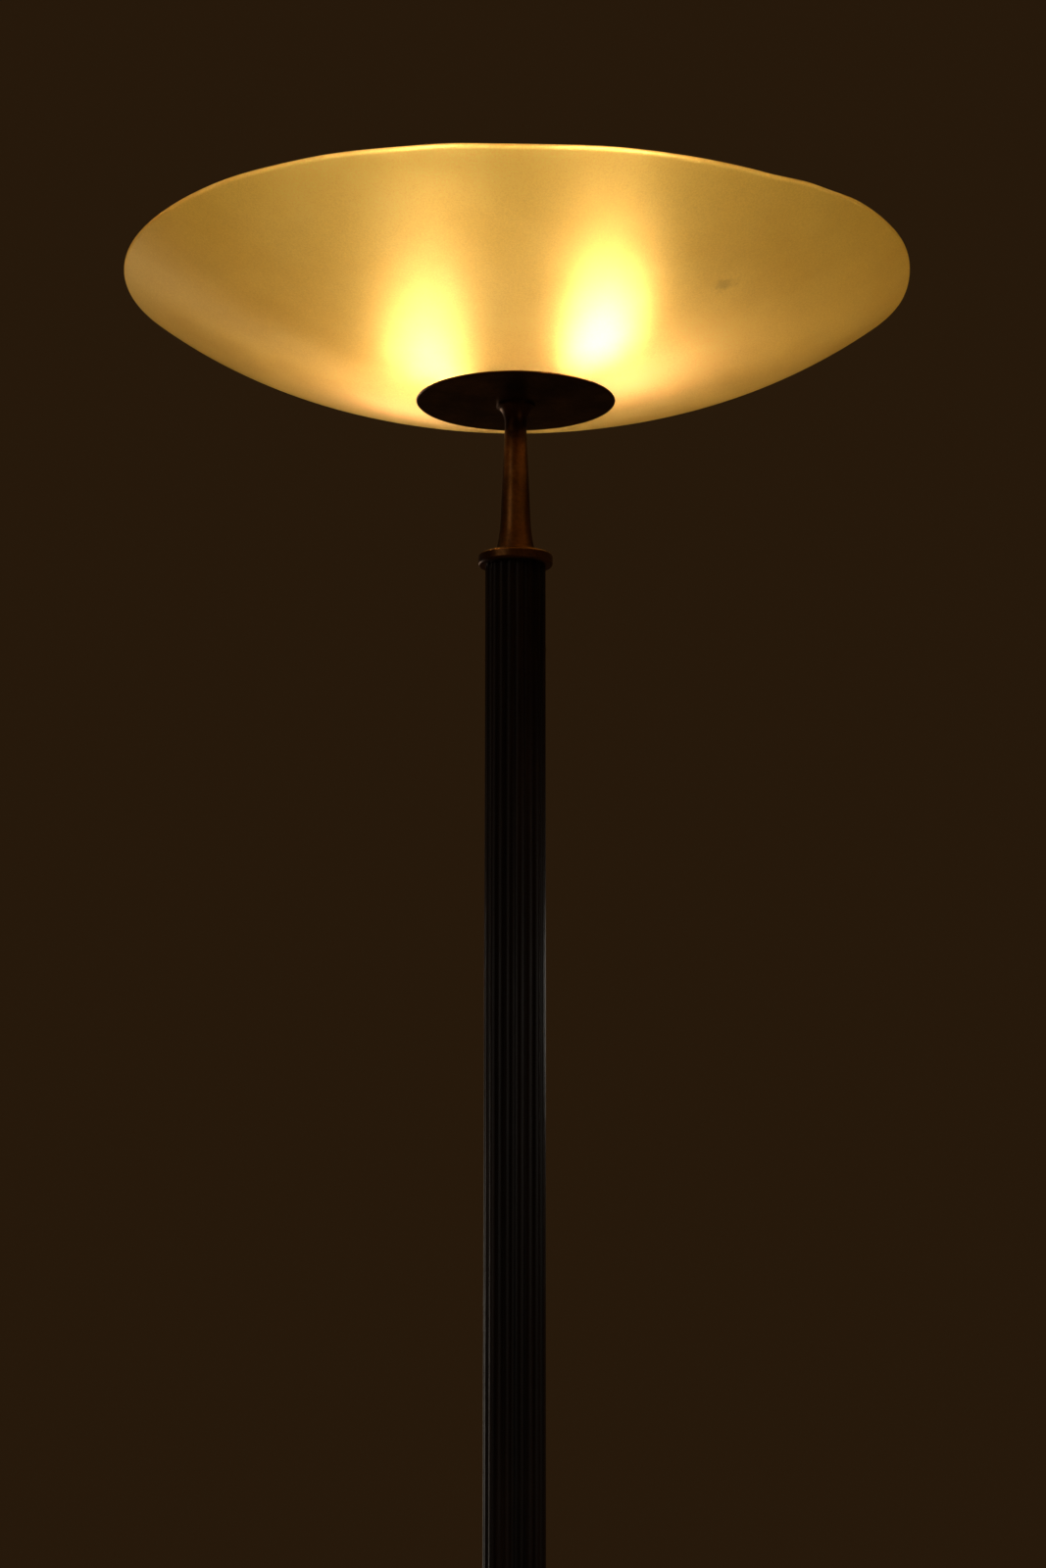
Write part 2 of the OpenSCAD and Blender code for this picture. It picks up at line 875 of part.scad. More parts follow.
// Two-way connector inside the hub
module hub_connector() {
    color("#d8d2c4")
    rotate([0, 0, lamp_turn])
    translate([-3.5, -8, block_z])
    difference() {
        cube([7, 16, 6.4]);
        for (y = [4, 12]) {
            translate([-over, y, 3.2]) rotate([0, 90, 0]) cylinder(r = 1.2, h = 7 + 2 * over);
        }
    }
}

// Domed lid of the hub, with a skirt that fits inside it
module hub_cap() {
    dome_r = (hub_r * hub_r + cap_rise * cap_rise) / (2 * cap_rise);
    color(AGED_BRASS)
    difference() {
        union() {
            intersection() {
                translate([0, 0, finial_z - dome_r]) sphere(r = dome_r, $fn = 96);
                translate([0, 0, hub_top_z]) cylinder(r = hub_r, h = cap_rise);
            }
            ring(hub_bore_r - slip, hub_bore_r - 1.5, hub_top_z - 3, 3.5);
        }
        translate([0, 0, hub_top_z - 4]) cylinder(r = 2.1, h = cap_rise + 5);
        translate([0, 0, finial_z - 0.6]) cylinder(r = hub_r, h = cap_rise);
    }
}

// Turned finial with a stud that passes through the lid
module finial() {
    color(AGED_BRASS)
    translate([0, 0, finial_z - 0.6])
    rotate_extrude() {
        translate([0, -12.4]) square([2, 13.4]);
        square([4.5, 1.6]);
        polygon([[0, 1], [3.2, 1.6], [2.4, 4], [3, 8], [0, 8]]);
        intersection() {
            translate([0, 13]) circle(r = 6);
            square([7, 22]);
        }
        polygon([[0, 16], [4.2, 17.2], [2.2, 21], [1.4, 26], [0.8, 28.4], [0, 29]]);
    }
}

// Nut that holds the finial inside the lid
module finial_nut() {
    color(STEEL)
    translate([0, 0, hub_top_z - 2.4])
    difference() {
        cylinder(r = 4, h = 2.3, $fn = 6);
        translate([0, 0, -over]) cylinder(r = 2.05, h = 2.3 + 2 * over);
    }
}

// ---- lamps ----

// Threaded nipple that joins a lampholder to the hub
module lamp_nipple(i) {
    color(BRIGHT_BRASS) on_lamp(i) ring(rod_r, 3.5, nipple_from, nipple_to - nipple_from);
}

// Moulded skirt of a lampholder
module lampholder(i) {
    color(BAKELITE)
    on_lamp(i)
    rotate_extrude()
    polygon([
        [rod_r + slip, holder_from],
        [8, holder_from],
        [holder_r, holder_from + holder_cone],
        [holder_r, holder_to - 1],
        [holder_r - 1, holder_to],
        [11.8, holder_to],
        [11.8, insert_from - 0.2],
        [rod_r + slip, insert_from - 0.2]
    ]);
}

// Ceramic insert of a lampholder
module lampholder_insert(i) {
    color("#e6e1d6")
    on_lamp(i)
    difference() {
        translate([0, 0, insert_from]) cylinder(r = 11.6, h = insert_to - insert_from);
        translate([0, 0, contact_t + 1]) cylinder(r = 7.9, h = insert_to);
        translate([0, 0, insert_from - over]) cylinder(r = 3.2, h = insert_to);
    }
}

// Threaded shell and centre contact of a lampholder
module lampholder_contacts(i) {
    color(BRIGHT_BRASS)
    on_lamp(i) {
        ring(7.8, 7.15, contact_t + 2, 16);
        translate([0, 0, contact_t - 1.4]) cylinder(r = 3, h = 1.4);
        translate([0, 0, insert_from + 0.4]) cylinder(r = 1.2, h = contact_t - insert_from - 1);
    }
}

// Outline of a bulb's glass from its axis and from the height low, shrunk by
// inset: a stub inside the cap, a neck that opens out, and a round bulb
module bulb_outline(inset, low) {
    spread = 52;
    difference() {
        union() {
            translate([0, bulb_centre]) circle(r = bulb_r - inset);
            polygon([
                [0, low],
                [bulb_stub_r - inset, low],
                [bulb_stub_r - inset, cap_to - 0.5],
                [bulb_neck_r - inset, cap_to + 0.2],
                [bulb_r * sin(spread) - inset, bulb_centre - bulb_r * cos(spread)],
                [0, bulb_centre]
            ]);
        }
        translate([-bulb_d, 0]) square([bulb_d, 2 * bulb_centre]);
    }
}

// Frosted envelope of a bulb
module bulb_glass(i) {
    color("#fff2cc", 0.7)
    on_lamp(i)
    rotate_extrude()
    difference() {
        bulb_outline(0, cap_to - 4);
        bulb_outline(bulb_wall, cap_to - 4 - over);
    }
}

// Screw cap of a bulb with its centre contact
module bulb_cap(i) {
    color(STEEL)
    on_lamp(i)
    rotate_extrude()
    difference() {
        union() {
            translate([0, contact_t]) square([2.6, 2]);
            polygon([[0, contact_t + 1], [2.6, contact_t + 1.4], [6.2, contact_t + 4], [0, contact_t + 4]]);
            translate([0, contact_t + 4]) square([6.85, cap_to - contact_t - 5]);
            translate([0, cap_to - 2.4]) square([bulb_neck_r + 0.3, 1.6]);
        }
        translate([0, contact_t + 6]) square([bulb_stub_r + 0.2, cap_to]);
    }
}

// Stem, support wires and filament inside a bulb
module bulb_filament(i) {
    color("#d9c9a0")
    on_lamp(i) {
        translate([0, 0, contact_t + 6]) cylinder(r1 = 4.6, r2 = 2, h = 24);
        translate([0, 0, contact_t + 29]) cylinder(r = 1.4, h = 12);
        swept([
            [1, 0, contact_t + 40],
            [7, 0, contact_t + 46],
            [9, 0, contact_t + 50],
            [4, 3, contact_t + 51],
            [-4, 3, contact_t + 51],
            [-9, 0, contact_t + 50],
            [-7, 0, contact_t + 46],
            [-1, 0, contact_t + 40]
        ], 0.5, 6);
    }
}

// The pair of wires from the connector to a lampholder
module lamp_wires(i) {
    color("#8a8378")
    for (s = [-1, 1]) {
        rotate([0, 0, lamp_turn + 180 * (i - 1)])
        swept(rounded_route([
            [3.5, 4 * s, block_z + 3.2],
            [6.2, 3.6 * s, block_z + 2.6],
            [9.8 * cos(lamp_tilt) + 1.2, 1.3 * s, lamp_z + 11.6 * sin(lamp_tilt)],
            [wire_to * cos(lamp_tilt), 1.3 * s, lamp_z + wire_to * sin(lamp_tilt)]
        ], 1.2, 3), 0.7, 6);
    }
}

// ---- wires ----

// Where a wire turns up into the rod, and where it leaves at the top
function riser(turn, top_z) = [
    turned(wire_ring, 0, high_z, turn),
    turned(wire_ring, 0, top_z, turn)
];

// Point reached inside the hub from the rod, seen along the connector
function hub_point(x, y, z) = turned(x, y, z, lamp_turn);

module live_wire() {
    color("#6e2f22")
    swept(rounded_route(concat(
        [
            turned(switch_r - 1, contact_off, terminal_z + 1.4, switch_turn),
            turned(switch_r - 11, contact_off, terminal_z + 1.4, switch_turn),
            turned(switch_r - 24, 2, high_z, switch_turn)
        ],
        riser(LIVE_TURN, rod_top_z + 1),
        [
            hub_point(0, -4, block_z - 2.4),
            hub_point(0, -4, block_z)
        ]
    ), 1.2), wire_r);
}

module neutral_wire() {
    color("#27343f")
    swept(rounded_route(concat(
        [
            [-terminal_x, terminal_y, inside_z + terminal_wire_z],
            [-terminal_x, terminal_y - 6, inside_z + terminal_wire_z],
            [-1, 86, high_z]
        ],
        riser(NEUTRAL_TURN, rod_top_z + 1),
        [
            hub_point(0, 4, block_z - 2.4),
            hub_point(0, 4, block_z)
        ]
    ), 1.2), wire_r);
}

module earth_wire() {
    color("#5f6b34")
    swept(rounded_route(concat(
        [
            [earth_spot.x, earth_spot.y - 7, inside_z + tag_t + wire_r],
            [earth_spot.x, earth_spot.y - 15, inside_z + tag_t + wire_r],
            [-5, 86, high_z],
            [-5, 20, high_z]
        ],
        riser(EARTH_TURN, rod_top_z + 1.4),
        [
            hub_point(-7, -3, rod_top_z + 2.3)
        ]
    ), 1.2), wire_r);
}

module switch_lead() {
    color("#6e2f22")
    swept(rounded_route([
        [terminal_x, terminal_y, inside_z + terminal_wire_z],
        [terminal_x, terminal_y - 6, inside_z + terminal_wire_z],
        [4, 88, low_z],
        [4, 22, low_z],
        turned(22, -2, low_z, switch_turn),
        turned(switch_r - 24, -2, low_z, switch_turn),
        turned(switch_r - 11, -contact_off, terminal_z + 1.4, switch_turn),
        turned(switch_r - 1, -contact_off, terminal_z + 1.4, switch_turn)
    ], 3), wire_r);
}

// ---- nodes ----

base_felt();
base_plate();
base_screws();
base_weight();
base_cover();
cord_gland();
gland_nut();
cord_clamp();
cord_clamp_screws();
terminal_block();
terminal_screws();
earth_tag();
earth_screw();
switch_body();
switch_nut();
switch_contacts();
switch_button();
switch_bridge();
button_spring();
tie_rod();
tie_rod_nut();
lock_washer();
tie_rod_washer();
lower_collar();
reeded_column();
top_collar();
neck();
support_plate();
lower_gasket();
glass_bowl();
glass_bush();
upper_gasket();
clamp_disc();
lamp_hub();
hub_connector();
hub_cap();
finial();
finial_nut();
for (i = [1, 2]) {
    lamp_nipple(i);
    lampholder(i);
    lampholder_insert(i);
    lampholder_contacts(i);
    bulb_glass(i);
    bulb_cap(i);
    bulb_filament(i);
    lamp_wires(i);
}
live_wire();
neutral_wire();
earth_wire();
switch_lead();
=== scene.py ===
import json
import math

import bpy
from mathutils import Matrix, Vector


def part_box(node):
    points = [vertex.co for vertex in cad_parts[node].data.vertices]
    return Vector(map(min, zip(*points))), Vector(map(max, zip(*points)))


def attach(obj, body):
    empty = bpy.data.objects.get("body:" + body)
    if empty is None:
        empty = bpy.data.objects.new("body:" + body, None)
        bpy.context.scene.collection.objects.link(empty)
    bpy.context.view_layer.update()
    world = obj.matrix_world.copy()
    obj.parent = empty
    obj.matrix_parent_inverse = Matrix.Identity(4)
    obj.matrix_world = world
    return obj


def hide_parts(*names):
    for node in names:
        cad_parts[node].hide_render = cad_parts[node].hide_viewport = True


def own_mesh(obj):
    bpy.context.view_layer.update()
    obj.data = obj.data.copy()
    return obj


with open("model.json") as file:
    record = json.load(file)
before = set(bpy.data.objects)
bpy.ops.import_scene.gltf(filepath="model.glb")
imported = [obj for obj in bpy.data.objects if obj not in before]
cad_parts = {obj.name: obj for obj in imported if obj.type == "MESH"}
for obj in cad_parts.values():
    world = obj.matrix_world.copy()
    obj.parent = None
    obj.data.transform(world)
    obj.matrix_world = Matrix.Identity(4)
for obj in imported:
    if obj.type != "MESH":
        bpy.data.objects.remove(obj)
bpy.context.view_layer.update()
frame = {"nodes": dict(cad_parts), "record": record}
nodes = frame["nodes"]
scene = bpy.context.scene
scene.view_settings.view_transform = "Standard"

MM = 0.001


# ---- where things are, read from the frame ----

glass_low, glass_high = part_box("glass_bowl")
plate_low, plate_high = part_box("support_plate")
RIM_Z = glass_high.z
GLASS_Z = glass_low.z
BOWL_R = (glass_high.x - glass_low.x) / 2
PLATE_R = (plate_high.x - plate_low.x) / 2
BULBS = [sum(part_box(f"bulb_glass_{i}"), Vector()) / 2 for i in (1, 2)]


# ---- camera: low, in front, looking up at the bowl ----

CAMERA_DISTANCE = 2.184
CAMERA_HEIGHT = 0.9715
CAMERA_PITCH = 11.2
CAMERA_YAW = 0.131
CAMERA_ROLL = -0.045
LENS = 85.5
SENSOR_WIDTH = 36
NEAREST = 0.05
FARTHEST = 60


def make_camera():
    """The camera, low and in front, with the lens and the lean that the view has."""
    data = bpy.data.cameras.new("camera")
    data.lens = LENS
    data.sensor_width = SENSOR_WIDTH
    data.clip_start = NEAREST
    data.clip_end = FARTHEST
    camera = bpy.data.objects.new("camera", data)
    camera.location = (0, -CAMERA_DISTANCE, CAMERA_HEIGHT)
    camera.rotation_mode = "XYZ"
    camera.rotation_euler = (
        math.radians(90 + CAMERA_PITCH),
        math.radians(CAMERA_ROLL),
        math.radians(-CAMERA_YAW),
    )
    scene.collection.objects.link(camera)
    scene.camera = camera


make_camera()


# ---- node tree helpers ----

class Tree:
    """Short calls for building a material's node tree."""

    def __init__(self, name):
        self.material = bpy.data.materials.new(name)
        self.material.use_nodes = True
        self.tree = self.material.node_tree
        self.tree.nodes.clear()
        self.output = self.tree.nodes.new("ShaderNodeOutputMaterial")
        self.coords = self.tree.nodes.new("ShaderNodeTexCoord").outputs["Object"]

    def node(self, kind, inputs=None, **settings):
        made = self.tree.nodes.new("ShaderNode" + kind)
        for key, value in settings.items():
            setattr(made, key, value)
        for key, value in (inputs or {}).items():
            if isinstance(value, bpy.types.NodeSocket):
                self.tree.links.new(value, made.inputs[key])
            else:
                made.inputs[key].default_value = value
        return made

    def noise(self, scale, detail=4.0, roughness=0.55, vector=None, distortion=0.0):
        return self.node(
            "TexNoise",
            {
                "Vector": vector or self.coords,
                "Scale": scale,
                "Detail": detail,
                "Roughness": roughness,
                "Distortion": distortion,
            },
        ).outputs["Fac"]

    def stretched(self, x, y, z):
        return self.node("Mapping", {"Vector": self.coords, "Scale": (x, y, z)}).outputs[0]

    def ramp(self, value, stops):
        made = self.node("ValToRGB", {"Fac": value})
        elements = made.color_ramp.elements
        while len(elements) < len(stops):
            elements.new(0.5)
        for element, (position, colour) in zip(elements, stops):
            element.position = position
            element.color = (*colour, 1)
        return made.outputs["Color"]

    def levels(self, value, low, high, to_low, to_high):
        return self.node(
            "MapRange",
            {"Value": value, "From Min": low, "From Max": high, "To Min": to_low, "To Max": to_high},
        ).outputs["Result"]

    def math(self, operation, a, b):
        return self.node("Math", {0: a, 1: b}, operation=operation).outputs[0]

    def mix(self, factor, a, b):
        made = self.node("Mix", data_type="RGBA")
        for key, value in (("Factor", factor), ("A", a), ("B", b)):
            socket = next(s for s in made.inputs if s.name == key and s.enabled)
            if isinstance(value, bpy.types.NodeSocket):
                self.tree.links.new(value, socket)
            else:
                socket.default_value = value if key == "Factor" else (*value, 1)
        return next(s for s in made.outputs if s.enabled)

    def bump(self, height, strength, distance):
        inputs = {"Height": height, "Strength": strength, "Distance": distance}
        return self.node("Bump", inputs).outputs[0]

    def principled(self, **inputs):
        names = {key.replace("_", " "): value for key, value in inputs.items()}
        for key in ("Base Color", "Emission Color"):
            value = names.get(key)
            if value is not None and not isinstance(value, bpy.types.NodeSocket):
                names[key] = (*value, 1)
        return self.node("BsdfPrincipled", names)

    def finish(self, shader):
        self.tree.links.new(shader.outputs[0], self.output.inputs["Surface"])
        return self.material


# ---- materials ----

def aged_brass():
    """Dark, handled brass: brown patina, brighter where it is rubbed, fine turning marks."""
    t = Tree("aged_brass")
    cloud = t.noise(38, 5, 0.6)
    speck = t.noise(420, 3, 0.6)
    mottled = t.math("ADD", t.math("MULTIPLY", cloud, 0.75), t.math("MULTIPLY", speck, 0.25))
    colour = t.ramp(
        mottled,
        [
            (0.30, (0.030, 0.0105, 0.0036)),
            (0.50, (0.108, 0.042, 0.0105)),
            (0.72, (0.235, 0.100, 0.028)),
        ],
    )
    turned = t.noise(60, 2, 0.5, t.stretched(0.6, 0.6, 40))
    rough = t.levels(mottled, 0.25, 0.75, 0.46, 0.27)
    height = t.math("ADD", t.math("MULTIPLY", turned, 0.5), t.math("MULTIPLY", speck, 0.5))
    return t.finish(
        t.principled(
            Base_Color=colour,
            Metallic=0.92,
            Roughness=rough,
            Normal=t.bump(height, 0.16, 0.0006),
        )
    )


def bright_brass():
    """Unlacquered brass of the lamp hub and the terminals, dull with brown freckles."""
    t = Tree("bright_brass")
    cloud = t.noise(55, 5, 0.62)
    speck = t.noise(600, 2, 0.5)
    colour = t.ramp(
        cloud,
        [(0.30, (0.26, 0.145, 0.045)), (0.5, (0.50, 0.32, 0.11)), (0.75, (0.66, 0.47, 0.19))],
    )
    return t.finish(
        t.principled(
            Base_Color=colour,
            Metallic=1.0,
            Roughness=t.levels(cloud, 0.3, 0.7, 0.42, 0.24),
            Normal=t.bump(speck, 0.12, 0.0004),
        )
    )


def zinc_steel(name="zinc_steel", tint=(0.55, 0.55, 0.53)):
    """Zinc-plated steel with a faint drawn grain and dull spots."""
    t = Tree(name)
    spots = t.noise(90, 4, 0.6)
    grain = t.noise(500, 2, 0.5, t.stretched(1, 1, 0.03))
    dark = tuple(c * 0.62 for c in tint)
    return t.finish(
        t.principled(
            Base_Color=t.ramp(spots, [(0.35, dark), (0.65, tint)]),
            Metallic=1.0,
            Roughness=t.levels(spots, 0.3, 0.7, 0.46, 0.30),
            Normal=t.bump(grain, 0.10, 0.0004),
        )
    )


def dark_wood():
    """Black-brown stained wood with hardly any gloss, its grain running up the column."""
    t = Tree("dark_wood")
    grain = t.noise(70, 6, 0.65, t.stretched(1, 1, 0.035), 0.4)
    pores = t.noise(900, 3, 0.7, t.stretched(1, 1, 0.02))
    rubbed = t.noise(6, 3, 0.5)
    stain = t.ramp(
        grain,
        [
            (0.32, (0.0030, 0.0015, 0.0009)),
            (0.52, (0.0085, 0.0038, 0.0020)),
            (0.75, (0.0210, 0.0092, 0.0042)),
        ],
    )
    worn = t.mix(t.levels(rubbed, 0.55, 0.75, 0.0, 0.35), stain, (0.034, 0.0155, 0.0075))
    height = t.math("ADD", t.math("MULTIPLY", grain, 0.6), t.math("MULTIPLY", pores, 0.4))
    return t.finish(
        t.principled(
            Base_Color=worn,
            Roughness=t.levels(rubbed, 0.3, 0.7, 0.30, 0.46),
            Specular_IOR_Level=0.12,
            Coat_Weight=0.03,
            Coat_Roughness=0.25,
            Normal=t.bump(height, 0.30, 0.0008),
        )
    )


def bakelite(name="bakelite", base=(0.020, 0.012, 0.008), flow=(0.060, 0.028, 0.014)):
    """Moulded phenolic plastic with faint flow marks and a soft shine."""
    t = Tree(name)
    swirl = t.noise(45, 4, 0.6, distortion=1.6)
    dust = t.noise(380, 3, 0.6)
    return t.finish(
        t.principled(
            Base_Color=t.mix(t.levels(swirl, 0.45, 0.75, 0.0, 0.8), base, flow),
            Roughness=t.levels(dust, 0.3, 0.7, 0.24, 0.42),
            Normal=t.bump(dust, 0.08, 0.0004),
        )
    )


def felt(name, dark, light):
    """Pressed felt: matted fibres with a soft sheen."""
    t = Tree(name)
    fibres = t.noise(1400, 3, 0.75, distortion=0.8)
    tufts = t.noise(160, 4, 0.6)
    blend = t.math("ADD", t.math("MULTIPLY", fibres, 0.6), t.math("MULTIPLY", tufts, 0.4))
    return t.finish(
        t.principled(
            Base_Color=t.ramp(blend, [(0.35, dark), (0.65, light)]),
            Roughness=0.95,
            Sheen_Weight=0.5,
            Sheen_Roughness=0.5,
            Normal=t.bump(blend, 0.7, 0.0012),
        )
    )


def painted_steel():
    """Black stove enamel with a slight orange peel."""
    t = Tree("black_steel")
    peel = t.noise(260, 2, 0.5)
    dust = t.noise(30, 5, 0.6)
    return t.finish(
        t.principled(
            Base_Color=t.ramp(dust, [(0.4, (0.012, 0.012, 0.012)), (0.7, (0.035, 0.033, 0.030))]),
            Roughness=t.levels(dust, 0.3, 0.7, 0.38, 0.58),
            Normal=t.bump(peel, 0.2, 0.0005),
        )
    )


def cast_iron():
    """Rough sand-cast iron with rusty patches."""
    t = Tree("cast_iron")
    grit = t.noise(520, 5, 0.7)
    rust = t.noise(24, 5, 0.62)
    iron = t.ramp(grit, [(0.35, (0.018, 0.018, 0.019)), (0.7, (0.060, 0.058, 0.056))])
    return t.finish(
        t.principled(
            Base_Color=t.mix(t.levels(rust, 0.56, 0.72, 0.0, 0.7), iron, (0.11, 0.040, 0.015)),
            Metallic=0.6,
            Roughness=t.levels(grit, 0.3, 0.7, 0.60, 0.85),
            Normal=t.bump(grit, 0.8, 0.0012),
        )
    )


def rubber():
    """Black rubber with a grey bloom."""
    t = Tree("black_rubber")
    bloom = t.noise(140, 4, 0.6)
    return t.finish(
        t.principled(
            Base_Color=t.ramp(bloom, [(0.4, (0.010, 0.010, 0.010)), (0.7, (0.030, 0.029, 0.027))]),
            Roughness=t.levels(bloom, 0.3, 0.7, 0.65, 0.85),
            Normal=t.bump(bloom, 0.25, 0.0005),
        )
    )


def ceramic():
    """Glazed ceramic with faint crazing."""
    t = Tree("ceramic")
    craze = t.noise(240, 4, 0.6)
    return t.finish(
        t.principled(
            Base_Color=t.ramp(craze, [(0.4, (0.60, 0.56, 0.48)), (0.7, (0.80, 0.77, 0.70))]),
            Roughness=t.levels(craze, 0.3, 0.7, 0.18, 0.34),
            Coat_Weight=0.4,
            Normal=t.bump(craze, 0.06, 0.0004),
        )
    )


def insulation(name, dark, light):
    """Plastic wire covering with a faint extruded grain."""
    t = Tree(name)
    grain = t.noise(300, 3, 0.6, t.stretched(1, 1, 0.2))
    return t.finish(
        t.principled(
            Base_Color=t.ramp(grain, [(0.35, dark), (0.65, light)]),
            Roughness=t.levels(grain, 0.3, 0.7, 0.42, 0.6),
            Normal=t.bump(grain, 0.1, 0.0003),
        )
    )


BULB_LIGHT = (1.0, 0.76, 0.46)
BULB_STRENGTH = 500.0
# Distances from the middle of a bulb between which its glow falls, and the share left at the second
HOT_R = 0.020
DIM_R = 0.034
DIM_SHARE = 0.35
FILAMENT_LIGHT = (1.0, 0.70, 0.34)
FILAMENT_STRENGTH = (18.0, 26.0)


def lit_bulb(number, strength):
    """Inside-frosted bulb that glows all over, hottest round the filament."""
    t = Tree(f"lit_bulb_{number}")
    centre = BULBS[number - 1]
    away = t.node(
        "VectorMath", {0: t.coords, 1: (centre.x, centre.y, centre.z)}, operation="DISTANCE"
    ).outputs["Value"]
    frost = t.noise(220, 3, 0.6)
    hot = t.levels(away, HOT_R, DIM_R, 1.0, DIM_SHARE)
    grain = t.levels(frost, 0.3, 0.7, 0.94, 1.06)
    power = t.math("MULTIPLY", t.math("MULTIPLY", hot, grain), strength)
    return t.finish(
        t.principled(
            Base_Color=t.ramp(frost, [(0.4, (0.80, 0.74, 0.62)), (0.7, (0.90, 0.85, 0.74))]),
            Roughness=0.35,
            Emission_Color=BULB_LIGHT,
            Emission_Strength=power,
        )
    )


def lit_filament():
    """The stem and wire inside a bulb, glowing unevenly."""
    t = Tree("lit_filament")
    flicker = t.noise(400, 2, 0.5)
    return t.finish(
        t.principled(
            Base_Color=t.ramp(flicker, [(0.4, (0.70, 0.60, 0.42)), (0.7, (0.85, 0.78, 0.62))]),
            Roughness=0.3,
            Emission_Color=FILAMENT_LIGHT,
            Emission_Strength=t.levels(flicker, 0.3, 0.7, *FILAMENT_STRENGTH),
        )
    )


GLASS_DARK = (0.90, 0.77, 0.47)
GLASS_LIGHT = (1.0, 0.89, 0.59)
GLASS_IOR = 1.6
# The glass is a blend of rough lobes, each a tilt outwards and its share, of one lobe that is
# wide, and of a little milky glass
LOBE_ROUGHNESS = 0.31
LOBES = [(-0.55, 0.14), (-0.27, 0.20), (0.0, 0.28), (0.42, 0.22), (0.85, 0.16)]
WIDE_SHARE = 0.16
WIDE_ROUGHNESS = 0.5
MILKY_SHARE = 0.003

# Painted light: the glass is given emission that stands in for the bulbs' light coming through it
# Glow of the glass at one metre from a bulb: the part that falls with the square of the distance,
# and the part that falls with its fourth power. Tuned, not worked out from optics.
FAR_GLOW = (0.20e-3, 0.13e-3, 0.012e-3)
NEAR_GLOW = (3.6e-6, 2.1e-6, 1.0e-6)

# Painted light as well: extra emission where the glass faces the viewer, standing in for the bulbs'
# light scattered through it
# Glow of the glass where it is seen face on, which fades to the sides, tuned as well
FACING_GLOW = (0.24, 0.145, 0.020)
FACING_POWER = 3.0


# A faint mark on the glass: where it is, the distances from its middle where it starts and stops
# fading, how ragged its edge is, and the light it lets through
SMUDGE_R = BOWL_R * 0.713
SMUDGE_TURN = math.radians(-44.7)
SMUDGE_DROP = 0.044
SMUDGE = (SMUDGE_R * math.cos(SMUDGE_TURN), SMUDGE_R * math.sin(SMUDGE_TURN), RIM_Z - SMUDGE_DROP)
SMUDGE_FADE = (0.001, 0.008)
SMUDGE_RAGGED = 0.004
SMUDGE_CLEAR = 0.78


def blended(t, parts):
    """One shader from a list of (share, shader)."""
    total, shader = parts[0]
    for share, other in parts[1:]:
        total += share
        shader = t.node(
            "MixShader", {0: share / total, 1: shader.outputs[0], 2: other.outputs[0]}
        )
    return shader


